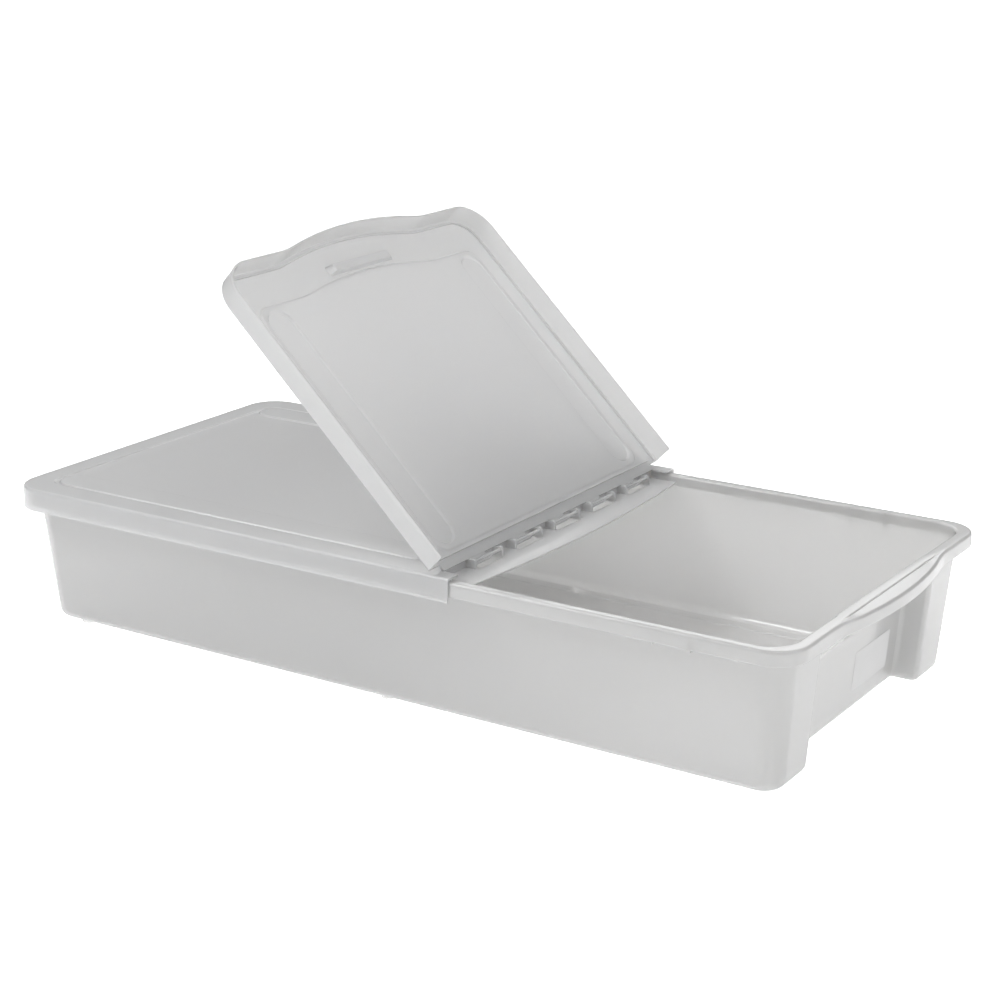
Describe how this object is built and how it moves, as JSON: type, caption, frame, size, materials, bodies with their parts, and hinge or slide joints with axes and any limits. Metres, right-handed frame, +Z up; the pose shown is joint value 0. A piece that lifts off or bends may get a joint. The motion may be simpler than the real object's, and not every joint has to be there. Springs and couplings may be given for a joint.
{
  "type": "under bed storage box",
  "caption": "Long, low translucent storage box with a lift-off lid, a hinged end flap, hand recesses in the ends and a blank label.",
  "frame": {"origin": "on the floor, under the middle of the box", "axes": "+Z up, +X along the length towards the grip and the flap, +Y across the width"},
  "size_m": [1.017, 0.4836, 0.4686],
  "materials": {
    "tub_plastic": "milky translucent polypropylene, satin gloss",
    "lid_plastic": "milky translucent polypropylene, satin gloss",
    "label_paper": "matt white paper"
  },
  "bodies": {
    "tub": {"tub": "tub_plastic", "label": "label_paper"},
    "main_lid": {"main_lid": "lid_plastic"},
    "flap": {"flap": "lid_plastic"}
  },
  "joints": [
    {"name": "lid_lift", "type": "slide", "parent": "tub", "child": "main_lid", "axis": [0, 0, 1], "range_m": [0, 0.2]},
    {"name": "flap_hinge", "type": "hinge", "parent": "main_lid", "child": "flap", "pos_m": [0.101, 0, 0.1633], "axis": [0, 1, 0], "range_deg": [0, 136]}
  ]
}
